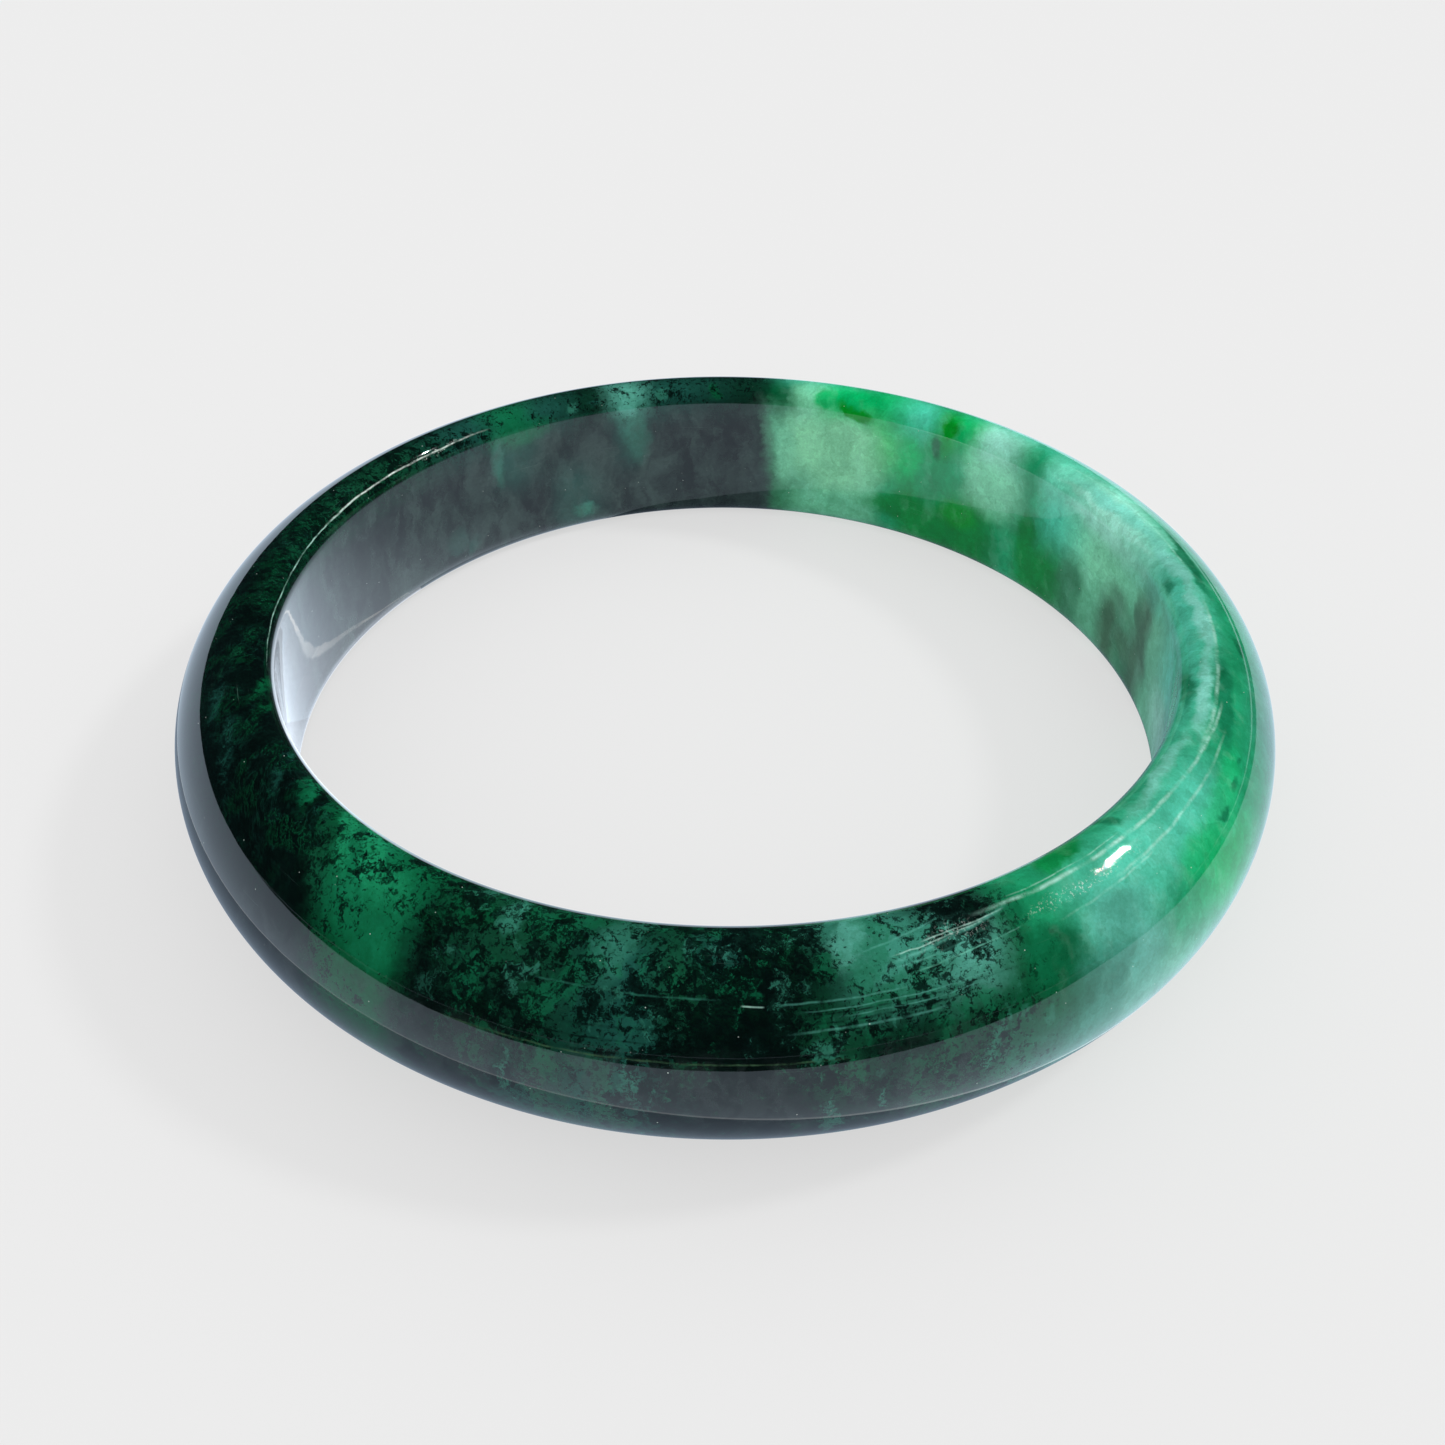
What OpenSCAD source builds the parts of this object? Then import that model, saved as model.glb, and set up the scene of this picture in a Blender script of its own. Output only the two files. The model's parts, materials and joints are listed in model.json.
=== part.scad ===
// A plain stone bangle: one closed ring, cut and polished from a single block.
// The ring lies flat, with its centre at the origin and the wrist's line along +Z.
// Its cross-section is a D. The inner wall is straight, the outside is one arc,
// and a small round joins the two at each rim, so that nothing sharp meets the skin.

/* [Wrist opening] */
// Inside diameter, between the straight inner walls, in mm
bore_d = 56; // [48:0.5:66]

/* [Band] */
// Height of the band along the wrist, in mm
band_h = 12.1; // [9.5:0.1:20]
// Thickness of the stone, from the inner wall to the crown, in mm
wall_t = 6.3; // [4:0.1:11]
// Radius of the round on each rim of the inner wall, in mm
edge_r = 1.7; // [0.4:0.1:3]

/* [Hidden] */
$fn = 96;

stone_colour = [0.10, 0.38, 0.26];

// The rounds may take up nearly all of a thin or low band, and never more.
round_share = 0.9;
rim_r = min(edge_r, round_share * wall_t / 2, round_share * band_h / 2);

// The section is drawn with x = 0 on the inner wall and y = 0 halfway up the band.
// The upper rim's round is centred at x = rim_r, y = rim_y, and the lower one mirrors it.
rim_y = band_h / 2 - rim_r;

// The crown is the one arc that touches both rim rounds and stands wall_t proud.
// On a wall too thick for that, it is a half circle at the end of level sides.
level_sides = wall_t > band_h / 2 + rim_r;
rise = wall_t - rim_r;
touching_r = (pow(rise, 2) + pow(rim_y, 2) - pow(rim_r, 2)) / (2 * (wall_t - 2 * rim_r));
// Drawn this much smaller, the crown crosses each round cleanly instead of grazing it.
seam = 0.00002;
crown_r = level_sides ? band_h / 2 : touching_r - seam;
crown_x = wall_t - crown_r;

// The arc starts past the rim's centre, on the line from the crown's centre through it.
arc_x = max(rim_r, crown_x);
arc_way = [arc_x - crown_x, rim_y] / norm([arc_x - crown_x, rim_y]);
// How far the cutting lines run on past the surface
reach = 2 * rim_r;
arc_far = [arc_x, rim_y] + reach * arc_way;
outside_x = wall_t + reach;

// The round on one rim: side is 1 for the upper rim and -1 for the lower one.
module rim_round(side) {
    translate([rim_r, side * rim_y])
        circle(r = rim_r);
}

// The part of the crown's circle that lies between the two rim rounds.
module crown() {
    intersection() {
        translate([crown_x, 0])
            circle(r = crown_r);
        polygon([
            [arc_x, -rim_y],
            [arc_x, rim_y],
            arc_far,
            [outside_x, arc_far[1]],
            [outside_x, -arc_far[1]],
            [arc_far[0], -arc_far[1]]
        ]);
    }
}

// The straight inner wall, and all the stone behind it as far as the crown.
module core() {
    translate([0, -rim_y])
        square([arc_x, 2 * rim_y]);
}

// The level top and bottom that only a very thick band has.
module sides() {
    translate([rim_r, -band_h / 2])
        square([crown_x - rim_r, band_h]);
}

module section() {
    union() {
        core();
        crown();
        rim_round(1);
        rim_round(-1);
        if (level_sides)
            sides();
    }
}

// The whole ring is one piece of stone.
module bangle() {
    color(stone_colour)
        rotate_extrude()
            translate([bore_d / 2, 0])
                section();
}

bangle();
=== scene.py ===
"""Looks of a polished stone bangle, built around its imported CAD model. All lengths are in metres."""

import json
import math

import bpy
from mathutils import Matrix, Vector


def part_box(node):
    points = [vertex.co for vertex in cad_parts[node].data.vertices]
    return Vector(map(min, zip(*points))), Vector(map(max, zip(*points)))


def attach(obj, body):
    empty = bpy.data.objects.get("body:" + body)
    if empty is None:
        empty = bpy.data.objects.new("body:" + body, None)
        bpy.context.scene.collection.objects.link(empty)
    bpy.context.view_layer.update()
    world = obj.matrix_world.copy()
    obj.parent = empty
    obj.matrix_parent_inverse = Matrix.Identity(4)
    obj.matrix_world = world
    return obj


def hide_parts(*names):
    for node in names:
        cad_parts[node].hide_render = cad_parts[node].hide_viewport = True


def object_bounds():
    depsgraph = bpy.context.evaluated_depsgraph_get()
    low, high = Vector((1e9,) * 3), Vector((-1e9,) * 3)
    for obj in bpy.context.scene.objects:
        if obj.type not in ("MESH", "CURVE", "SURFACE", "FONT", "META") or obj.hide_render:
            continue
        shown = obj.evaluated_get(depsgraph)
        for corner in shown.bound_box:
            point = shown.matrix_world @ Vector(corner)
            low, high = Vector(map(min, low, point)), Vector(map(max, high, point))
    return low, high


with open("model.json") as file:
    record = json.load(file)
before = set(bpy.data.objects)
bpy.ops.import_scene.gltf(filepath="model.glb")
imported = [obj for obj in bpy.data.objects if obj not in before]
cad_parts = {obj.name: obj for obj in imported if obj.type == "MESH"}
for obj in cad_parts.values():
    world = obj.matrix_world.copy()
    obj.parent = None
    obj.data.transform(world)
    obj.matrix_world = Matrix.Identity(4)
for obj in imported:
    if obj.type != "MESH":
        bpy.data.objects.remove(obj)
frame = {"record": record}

MM = 0.001
# A full turn in radians, and in degrees
TURN = 2 * math.pi
FULL_CIRCLE = 360
# The sun stands to the right and a little behind the ring.
SUN_AZIMUTH = math.radians(14)
SUN_HEIGHT = math.radians(44.5)

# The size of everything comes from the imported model: its box, and the bore in its record.
cad_low, cad_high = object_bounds()
stone_low, stone_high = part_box("bangle")
bore = frame["record"]["mounts"][0]["dims"]
inner_r = bore["r_mm"] * MM
wall_height = bore["length_mm"] * MM
outer_r = stone_high.x
middle_r = (inner_r + outer_r) / 2
half_height = stone_high.z
floor_z = stone_low.z
rim_r = half_height - wall_height / 2
rim_z = wall_height / 2


# ---------------------------------------------------------------- the section of the band

# The crown is the one arc that touches both rim rounds and reaches the outer radius.
rise = outer_r - inner_r - rim_r
crown_r = (rise ** 2 + rim_z ** 2 - rim_r ** 2) / (2 * (outer_r - inner_r - 2 * rim_r))
crown_x = outer_r - crown_r
# How far round from the crown's apex the rim round takes over
crown_reach = math.atan2(rim_z, inner_r + rim_r - crown_x)

wall_length = wall_height
rim_length = rim_r * (math.pi - crown_reach)
crown_length = 2 * crown_r * crown_reach
section_length = wall_length + 2 * rim_length + crown_length


def section_at(s):
    """The point and the outward normal, each (radius, height), at a length s along the section.

    The length starts at the foot of the inner wall, goes up it, over the upper rim and down the crown."""
    if s <= wall_length:
        return (inner_r, s - rim_z), (-1.0, 0.0)
    s -= wall_length
    if s <= rim_length:
        angle = math.pi - s / rim_r
        way = (math.cos(angle), math.sin(angle))
        return (inner_r + rim_r + rim_r * way[0], rim_z + rim_r * way[1]), way
    s -= rim_length
    if s <= crown_length:
        angle = crown_reach - s / crown_r
        way = (math.cos(angle), math.sin(angle))
        return (crown_x + crown_r * way[0], crown_r * way[1]), way
    s -= crown_length
    angle = -crown_reach - s / rim_r
    way = (math.cos(angle), math.sin(angle))
    return (inner_r + rim_r + rim_r * way[0], -rim_z + rim_r * way[1]), way


def spaced(length, count):
    """count lengths from 0 up to, but not including, length."""
    return [length * i / count for i in range(count)]


def section_lengths(wall_count, rim_count, crown_count):
    """The lengths along the section at which the band's mesh has its rings of points."""
    found, start = [], 0.0
    for length, count in (
        (wall_length, wall_count), (rim_length, rim_count),
        (crown_length, crown_count), (rim_length, rim_count),
    ):
        found += [start + part for part in spaced(length, count)]
        start += length
    return found


def polish_dip(angle, s):
    """How far hand polishing has taken the surface below the true arc: a few hundredths of a mm."""
    deepest = 0.018 * MM
    across = TURN * s / section_length
    wave = (
        0.5 * math.sin(3 * angle + 0.6 + math.sin(across))
        + 0.3 * math.sin(7 * angle + 2.1 + 2 * across)
        + 0.2 * math.sin(16 * angle + 0.3 - 3 * across)
    )
    return deepest * (0.5 - 0.5 * wave)


def add_object(name, data):
    """A new object in the scene that shows the given mesh, lamp or camera."""
    obj = bpy.data.objects.new(name, data)
    bpy.context.scene.collection.objects.link(obj)
    return obj


def make_band():
    """The stone itself: the band's section carried round the wrist's axis as a mesh of quads."""
    around = 720
    lengths = section_lengths(wall_count=20, rim_count=20, crown_count=76)
    across = len(lengths)
    points = []
    for i in range(around):
        angle = TURN * i / around
        for s in lengths:
            (radius, height), way = section_at(s)
            dip = polish_dip(angle, s)
            radius -= dip * way[0]
            height -= dip * way[1]
            points.append((radius * math.cos(angle), radius * math.sin(angle), height))
    faces = []
    for i in range(around):
        here, there = i * across, (i + 1) % around * across
        for j in range(across):
            k = (j + 1) % across
            faces.append((here + j, here + k, there + k, there + j))
    mesh = bpy.data.meshes.new("jade_band")
    mesh.from_pydata(points, [], faces)
    mesh.validate()
    mesh.polygons.foreach_set("use_smooth", [True] * len(mesh.polygons))
    mesh.update()
    return add_object("jade_band", mesh)


# ---------------------------------------------------------------- colours

def tone(red, green, blue):
    """A colour given as 0 to 255 screen values, as the linear values that Blender's shaders take."""
    def linear(value):
        value /= 255
        return value / 12.92 if value <= 0.04045 else ((value + 0.055) / 1.055) ** 2.4
    return (linear(red), linear(green), linear(blue), 1.0)


STONE = {
    "ink": tone(2, 10, 8),
    "night": tone(5, 24, 18),
    "moss_dark": tone(8, 44, 30),
    "moss": tone(14, 66, 44),
    "bottle": tone(6, 84, 50),
    "emerald": tone(14, 104, 68),
    "emerald_light": tone(28, 142, 96),
    "teal_dark": tone(24, 74, 64),
    "teal": tone(52, 124, 104),
    "teal_light": tone(84, 160, 142),
    "mint": tone(78, 184, 156),
    "mint_pale": tone(118, 200, 174),
    "milk": tone(168, 216, 200),
    "glass": tone(124, 196, 180),
    "smoke": tone(70, 92, 86),
    "white": tone(226, 238, 230),
    "vivid": tone(8, 172, 98),
    "vivid_dark": tone(0, 120, 52),
    "leaf": tone(4, 138, 36),
    "apple": tone(92, 190, 118),
    "cream": tone(138, 198, 156),
    "cloud": tone(134, 200, 164),
    "sage": tone(104, 170, 136),
    "sage_dark": tone(62, 124, 90),
    "olive": tone(66, 98, 70),
    "slate": tone(46, 56, 56),
}


# ---------------------------------------------------------------- shader helpers

class Net:
    """Adds nodes to one material, and links what it is given to their inputs."""

    def __init__(self, tree):
        self.tree = tree

    def node(self, kind, inputs=None, **settings):
        """A new node, with its inputs set or linked by name."""
        made = self.tree.nodes.new(kind)
        for name, value in settings.items():
            setattr(made, name, value)
        for name, value in (inputs or {}).items():
            self.set(made.inputs[name], value)
        return made

    def set(self, socket, value):
        """Links a node's output to a socket, or sets a plain value on it."""
        if isinstance(value, bpy.types.NodeSocket):
            self.tree.links.new(value, socket)
        else:
            socket.default_value = value

    def math(self, operation, *values):
        """One sum on numbers."""
        made = self.node("ShaderNodeMath", operation=operation)
        for socket, value in zip(made.inputs, values):
            self.set(socket, value)
        return made.outputs[0]

    def vector(self, operation, *values):
        """One sum on vectors."""
        made = self.node("ShaderNodeVectorMath", operation=operation)
        for socket, value in zip(made.inputs, values):
            self.set(socket, value)
        return made.outputs["Value" if operation == "LENGTH" else "Vector"]

    def step(self, value, start, end, to=(0.0, 1.0)):
        """A smooth step of value, from to[0] at start to to[1] at end."""
        made = self.node(
            "ShaderNodeMapRange",
            {"Value": value, "From Min": start, "From Max": end, "To Min": to[0], "To Max": to[1]},
            interpolation_type="SMOOTHSTEP",
        )
        return made.outputs["Result"]

    def sector(self, turn, opens, closes):
        """1 in a sector of the ring and 0 outside it, with a soft change over two angles at each end.

        opens is where it is 0 and then 1, and closes is where it is 0 and back to 1, in degrees."""
        opening = self.step(turn, opens[0] / FULL_CIRCLE, opens[1] / FULL_CIRCLE)
        closing = self.step(turn, closes[0] / FULL_CIRCLE, closes[1] / FULL_CIRCLE)
        return self.math("MULTIPLY", opening, closing)

    def mix(self, factor, first, second, blend="MIX"):
        """The first colour where factor is 0 and the second where it is 1."""
        # A mix node lists its number and vector sockets too, so its colour sockets are 6 and 7, and 2.
        made = self.node("ShaderNodeMix", data_type="RGBA", blend_type=blend)
        self.set(made.inputs[0], factor)
        self.set(made.inputs[6], first)
        self.set(made.inputs[7], second)
        return made.outputs[2]

    def noise(self, vector, scale, detail=2.0, roughness=0.5, distortion=0.0, output="Fac"):
        """Cloudy noise, whose features are about 1 / scale across."""
        made = self.node(
            "ShaderNodeTexNoise",
            {"Vector": vector, "Scale": scale, "Detail": detail, "Roughness": roughness,
             "Distortion": distortion},
        )
        return made.outputs[output]

    def stretched(self, vector, lengths, turn=0.0):
        """The vector turned in its own plane and divided by lengths, which draws out noise read with it."""
        made = self.node(
            "ShaderNodeMapping",
            {"Vector": vector, "Rotation": (0.0, 0.0, turn), "Scale": lengths},
            vector_type="TEXTURE",
        )
        return made.outputs[0]

    def ramp(self, turn, stops, interpolation):
        """A line of colours round the ring, given as (degrees, colour). turn goes from 0 to 1."""
        made = self.node("ShaderNodeValToRGB", {"Fac": turn})
        ramp = made.color_ramp
        ramp.interpolation = interpolation
        ramp.elements.remove(ramp.elements[1])
        degrees, colour = stops[0]
        ramp.elements[0].position = degrees / FULL_CIRCLE
        ramp.elements[0].color = colour
        for degrees, colour in stops[1:]:
            ramp.elements.new(degrees / FULL_CIRCLE).color = colour
        return made.outputs[0]

    def strip(self, turn, stops):
        """A line of the stone's colours, given as (degrees, colour name), that closes on itself."""
        closed = stops + [(FULL_CIRCLE, stops[0][1])]
        return self.ramp(turn, [(degrees, STONE[name]) for degrees, name in closed], "EASE")

    def levels(self, turn, stops):
        """A line of plain values, given as (degrees, value from 0 to 1)."""
        greys = [(degrees, (value, value, value, 1.0)) for degrees, value in stops]
        return self.first_part(self.ramp(turn, greys, "LINEAR"))

    def first_part(self, colour):
        """The red part of a colour, as a number."""
        return self.node("ShaderNodeSeparateColor", {"Color": colour}).outputs[0]

    def join(self, kind, first, second, inputs=None):
        """Two shader nodes mixed or added."""
        made = self.node(kind, inputs)
        start = 1 if kind == "ShaderNodeMixShader" else 0
        self.tree.links.new(first.outputs[0], made.inputs[start])
        self.tree.links.new(second.outputs[0], made.inputs[start + 1])
        return made

    def finish(self, shader, kind="ShaderNodeOutputMaterial"):
        """Makes a shader node the result of the material."""
        self.tree.links.new(shader.outputs[0], self.node(kind).inputs[0])


def blank_material(name):
    """A new material with nothing in it yet, and the Net that fills it."""
    material = bpy.data.materials.new(name)
    material.use_nodes = True
    material.node_tree.nodes.clear()
    return material, Net(material.node_tree)


# ---------------------------------------------------------------- where the stone's colours lie

# Each strip is a line of colours round the ring, at one length along the section in mm.
# Angles are degrees from +X towards +Y.
STRIPS = [
    (2.0, [
        (0, "sage"), (6, "olive"), (10, "sage_dark"), (15, "olive"), (20, "sage"), (26, "sage_dark"),
        (31, "vivid_dark"), (36, "vivid_dark"), (40, "emerald_light"), (46, "vivid_dark"),
        (58, "vivid_dark"), (63, "emerald_light"), (67, "sage"), (77, "sage"), (82, "sage_dark"),
        (85, "slate"), (87, "ink"), (110, "night"), (118, "teal_dark"), (124, "ink"), (141, "night"),
        (165, "ink"), (226, "ink"), (235, "emerald"), (246, "moss_dark"), (285, "night"),
        (300, "emerald"), (340, "mint"), (352, "sage"),
    ]),
    (6.6, [
        (0, "sage"), (4, "olive"), (9, "sage"), (20, "cloud"), (31, "mint"), (36, "emerald_light"),
        (42, "cloud"), (48, "cloud"), (51, "emerald_light"), (55, "vivid_dark"), (60, "vivid"),
        (65, "apple"), (69, "cream"), (78, "cream"), (83, "sage"), (86, "night"), (88, "ink"),
        (104, "ink"), (108, "teal_dark"), (112, "ink"), (121, "night"), (128, "teal_dark"),
        (134, "ink"), (200, "ink"), (230, "emerald"), (245, "moss_dark"), (290, "ink"),
        (300, "emerald"), (340, "mint"), (350, "mint"),
    ]),
    (10.2, [
        (0, "mint"), (20, "milk"), (32, "mint_pale"), (37, "emerald_light"), (45, "milk"),
        (50, "vivid"), (53, "leaf"), (58, "mint"), (66, "vivid"), (73, "vivid"), (78, "cloud"),
        (82, "bottle"), (85, "moss_dark"), (102, "teal_dark"), (108, "teal_light"), (113, "moss_dark"),
        (122, "teal_dark"), (128, "emerald"), (135, "teal_dark"), (150, "moss"), (186, "moss_dark"),
        (196, "ink"), (222, "night"), (230, "bottle"), (234, "emerald"), (243, "bottle"), (247, "moss"),
        (275, "moss_dark"), (281, "teal"), (292, "night"), (298, "emerald_light"),
    ]),
    (13.0, [
        (0, "emerald_light"), (40, "mint"), (60, "emerald_light"), (80, "mint"), (86, "ink"),
        (104, "night"), (109, "teal_dark"), (114, "night"), (127, "moss"), (136, "ink"), (180, "ink"),
        (200, "night"), (226, "ink"), (231, "moss"), (235, "emerald"), (242.5, "emerald"),
        (244, "moss_dark"), (254, "moss"), (262, "teal_dark"), (267, "moss"), (272, "ink"),
        (279, "moss_dark"), (282, "teal"), (287, "teal"), (292, "teal_light"), (296, "bottle"),
        (299, "emerald_light"), (305, "mint"), (322, "mint"), (331, "emerald_light"),
        (346, "emerald_light"),
    ]),
    (16.4, [
        (0, "mint"), (40, "mint_pale"), (56, "emerald_light"), (80, "mint"), (87, "ink"),
        (103, "moss_dark"), (110, "teal_dark"), (116, "ink"), (126, "moss"), (134, "night"),
        (160, "ink"), (232, "ink"), (237, "bottle"), (242, "bottle"), (244, "night"),
        (256, "moss_dark"), (263, "teal_dark"), (268, "night"), (274, "ink"), (279, "moss"),
        (285, "moss_dark"), (291, "moss"), (298, "bottle"), (303, "teal"), (308, "teal_light"),
        (313, "emerald_light"), (322, "vivid"), (330, "emerald_light"), (340, "teal"),
        (350, "teal_light"),
    ]),
    (22.0, [
        (0, "mint_pale"), (30, "cloud"), (50, "apple"), (66, "cream"), (80, "sage"), (86, "ink"),
        (102, "night"), (110, "moss"), (120, "night"), (146, "moss_dark"), (160, "ink"), (230, "ink"),
        (241, "moss"), (248, "ink"), (256, "teal_dark"), (261, "teal_dark"), (270, "night"),
        (280, "night"), (290, "moss"), (300, "teal_light"), (312, "mint_pale"), (340, "mint_pale"),
    ]),
]

# Clouds and spots in the stone, and one patch of painted light on the light side's inner wall. Each is the
# angle in degrees, the length along the section in mm, the half sizes round the ring and across it in mm,
# how far its long way is turned, in degrees, its colour, its strength at the middle, and how much of it is
# soft edge.
CLOUDS = [
    # the light side, on the inner wall
    (5, 4.2, 1.0, 3.4, -28, "olive", 0.75, 0.7),
    (10, 2.0, 1.4, 1.6, -20, "olive", 0.7, 0.7),
    (15, 3.0, 1.0, 1.3, 20, "olive", 0.6, 0.7),
    (26, 2.4, 1.7, 1.8, 0, "sage_dark", 0.8, 0.7),
    (36, 3.6, 1.1, 2.4, -12, "vivid_dark", 0.95, 0.6),
    (44, 6.0, 2.4, 3.0, 10, "cloud", 0.8, 0.8),
    (56, 1.9, 5.6, 1.6, -6, "vivid_dark", 0.95, 0.5),
    (50, 2.6, 2.2, 1.4, 10, "leaf", 0.7, 0.7),
    (56, 5.0, 2.4, 2.6, 0, "emerald_light", 0.7, 0.7),
    (55, 7.6, 0.5, 1.2, 0, "bottle", 0.85, 0.8),
    (60, 6.0, 1.0, 2.2, 0, "vivid", 0.8, 0.7),
    (72, 5.0, 4.4, 3.8, 0, "cream", 0.85, 0.6),
    (21, 8.6, 4.2, 1.0, 0, "milk", 0.6, 0.9),
    # This milky cloud is partly the stone's pale tone and partly painted light, where sun shines through
    # the thin stone.
    (350, 2.0, 4.6, 3.0, 0, "milk", 0.7, 1.0),
    (12, 4.6, 2.6, 1.2, 20, "olive", 0.5, 1.0),
    (81, 4.6, 1.0, 3.4, 4, "cloud", 0.6, 0.8),
    # the light side, on the rim
    (1.6, 9.8, 1.2, 0.6, 10, "emerald", 0.7, 0.9),
    (53, 9.6, 0.9, 0.8, 0, "leaf", 1.0, 0.4),
    (69.5, 9.1, 1.8, 0.6, 22, "leaf", 1.0, 0.5),
    (69, 10.2, 1.3, 0.8, 0, "vivid", 0.9, 0.6),
    (75, 9.9, 0.9, 0.8, 10, "vivid", 0.9, 0.5),
    (5, 11.9, 5.0, 0.45, 0, "emerald", 0.8, 0.7),
    (20, 9.6, 6.0, 0.35, 0, "milk", 0.8, 0.8),
    # the dark side, on the inner wall and its rim
    (93, 9.9, 0.5, 0.9, 0, "bottle", 0.8, 0.7),
    (98, 9.8, 0.35, 0.8, 0, "teal_dark", 0.8, 0.7),
    (102, 9.7, 0.8, 0.7, 0, "teal", 0.6, 0.8),
    (107, 7.0, 1.2, 3.6, -12, "teal", 0.6, 0.8),
    (108, 9.4, 0.8, 1.4, 0, "teal_light", 0.85, 0.7),
    (113, 9.9, 0.6, 0.4, 0, "teal_dark", 0.8, 0.7),
    (117, 9.7, 0.7, 0.7, 0, "teal", 0.6, 0.8),
    (116, 0.4, 1.2, 0.8, 0, "teal", 0.8, 0.8),
    (127, 8.8, 3.4, 1.1, 0, "emerald", 0.7, 0.7),
    (131, 7.0, 0.7, 2.6, 0, "teal", 0.5, 0.8),
    (137, 0.6, 0.7, 1.2, 20, "teal_dark", 0.7, 0.8),
    (140, 1.4, 1.4, 1.4, 0, "teal_dark", 0.6, 0.8),
    # wisps of the left
    (203, 10.0, 2.0, 0.5, 32, "bottle", 0.8, 0.8),
    (208, 10.6, 1.8, 0.35, 34, "bottle", 0.7, 0.8),
    (196, 11.2, 3.0, 0.4, 24, "moss", 0.7, 0.8),
    (217, 10.4, 2.6, 0.35, 38, "teal_dark", 0.7, 0.8),
    (212, 13.4, 3.6, 0.6, 28, "teal_dark", 0.5, 0.8),
    (204, 13.0, 2.6, 0.5, 20, "teal_dark", 0.5, 0.8),
    (222, 12.6, 3.0, 0.4, 34, "teal_dark", 0.6, 0.8),
    # the emerald patch of the front left
    (223.5, 10.8, 1.4, 0.9, 44, "emerald", 0.95, 0.6),
    (231.5, 11.2, 3.2, 0.6, 48, "emerald_light", 0.7, 0.8),
    (235.5, 11.4, 3.4, 0.8, 46, "emerald_light", 0.6, 0.8),
    (240, 12.6, 1.8, 1.0, 30, "emerald_light", 0.45, 0.9),
    (239.5, 15.2, 2.0, 1.5, 20, "emerald", 0.7, 0.7),
    (224, 12.8, 3.2, 1.2, 44, "ink", 0.85, 0.6),
    (227.5, 11.8, 2.8, 0.35, 46, "ink", 0.9, 0.6),
    (229.5, 14.4, 2.6, 1.1, 50, "ink", 0.85, 0.6),
    (239, 10.2, 1.4, 0.4, 10, "night", 0.9, 0.7),
    (245.5, 14.6, 0.8, 2.2, 0, "ink", 0.6, 0.8),
    # the front
    (251.5, 11.4, 0.6, 1.4, 12, "teal", 0.9, 0.7),
    (261, 11.9, 1.1, 2.4, 14, "teal", 0.6, 0.8),
    (248, 12.0, 1.4, 0.9, 0, "bottle", 0.7, 0.8),
    (256, 13.8, 2.4, 1.6, 0, "moss_dark", 0.5, 0.8),
    (270, 12.0, 1.6, 1.4, 10, "teal_dark", 0.6, 0.8),
    (275, 11.4, 1.4, 1.4, 20, "bottle", 0.5, 0.8),
    (276, 13.4, 1.2, 1.0, 20, "ink", 0.6, 0.8),
    (281, 11.7, 0.9, 1.6, 18, "teal_light", 0.70, 0.6),
    (286, 12.4, 2.2, 1.5, 0, "teal", 0.6, 0.8),
    (293, 12.2, 0.8, 1.6, 30, "night", 0.8, 0.8),
    (291, 11.0, 1.5, 0.6, 0, "night", 0.9, 0.7),
    (285, 14.2, 2.4, 0.7, -12, "bottle", 0.6, 0.8),
    (263, 15.6, 1.4, 1.5, 0, "teal_dark", 0.7, 0.8),
    (278, 16.6, 1.3, 0.6, 12, "teal", 0.5, 0.8),
    (284, 16.9, 2.0, 0.5, 0, "night", 0.8, 0.7),
    # the front right and the right
    (299, 14.9, 1.9, 1.6, 0, "bottle", 0.8, 0.7),
    (304.5, 10.6, 2.0, 0.9, -20, "vivid_dark", 0.85, 0.6),
    (312.5, 10.6, 0.5, 1.0, -18, "emerald", 0.8, 0.7),
    (306, 14.6, 2.4, 1.5, 0, "teal_light", 0.7, 0.8),
    (312, 12.2, 4.0, 0.9, 0, "mint", 0.6, 0.8),
    (318, 15.0, 2.6, 1.3, 0, "vivid", 0.6, 0.7),
    (326, 14.2, 4.0, 1.2, -10, "vivid", 0.5, 0.7),
    (339, 9.9, 2.4, 0.6, -10, "emerald", 0.8, 0.7),
    (338, 12.4, 4.6, 0.8, -8, "emerald", 0.8, 0.7),
    (324, 14.7, 0.9, 0.30, 20, "emerald", 0.8, 0.9),
    (328, 14.6, 0.7, 0.25, 0, "emerald", 0.7, 0.9),
    (331, 14.2, 0.6, 0.30, 0, "emerald", 0.7, 0.9),
    (342, 12.1, 0.8, 0.3, 10, "emerald", 0.8, 0.9),
    (349, 13.4, 1.0, 0.4, 0, "bottle", 0.7, 0.7),
    (322, 10.9, 5.0, 0.5, -3, "glass", 0.6, 0.9),
    (338, 11.1, 5.0, 0.5, -3, "glass", 0.8, 0.8),
    (352, 11.0, 5.0, 0.55, -4, "glass", 0.9, 0.8),
    (6, 10.8, 5.0, 0.55, -5, "glass", 0.9, 0.8),
    (20, 10.4, 5.0, 0.6, -4, "glass", 0.8, 0.8),
]
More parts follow.
